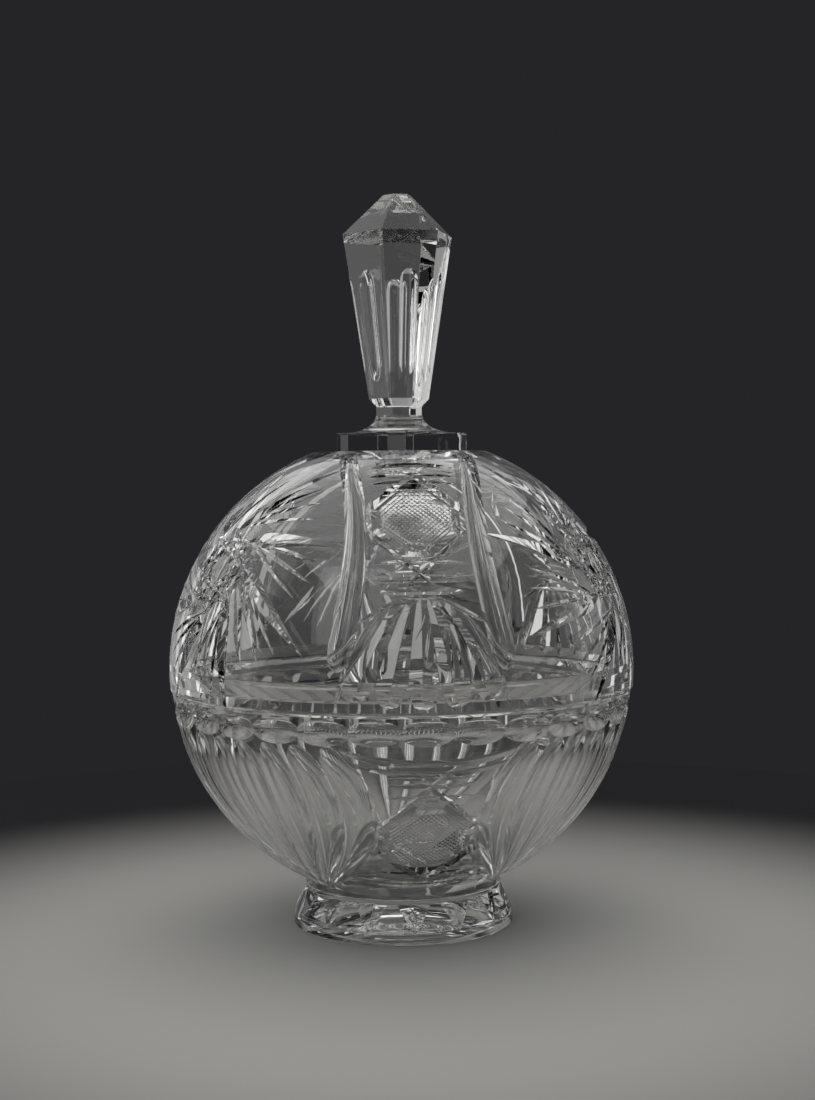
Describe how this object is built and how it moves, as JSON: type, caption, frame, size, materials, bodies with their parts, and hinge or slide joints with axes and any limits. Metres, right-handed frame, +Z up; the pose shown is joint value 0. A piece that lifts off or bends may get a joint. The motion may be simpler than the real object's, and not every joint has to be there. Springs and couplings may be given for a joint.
{
  "type": "lidded bowl",
  "caption": "Round cut-crystal bowl on a low flared foot, with a domed lift-off lid and a tall faceted finial, for sweets or small keepsakes.",
  "frame": {"origin": "centre of the foot's underside, on the surface that the bowl stands on", "axes": "+Z up along the axis of the bowl, lid and finial; one of the medallion panels faces -Y"},
  "size_m": [0.15, 0.15, 0.235],
  "materials": {
    "bowl_crystal": "clear lead crystal, wheel cut and polished",
    "foot_crystal": "clear lead crystal, faceted, ground flat underneath",
    "lid_crystal": "clear lead crystal, wheel cut and polished, ground rim",
    "finial_crystal": "clear lead crystal, faceted and polished"
  },
  "bodies": {
    "footed_bowl": {"bowl": "bowl_crystal", "foot": "foot_crystal"},
    "covered_lid": {"lid": "lid_crystal", "finial": "finial_crystal"}
  },
  "joints": [
    {"name": "lid_lift", "type": "slide", "parent": "footed_bowl", "child": "covered_lid", "axis": [0, 0, 1], "range_m": [0, 0.12]}
  ]
}
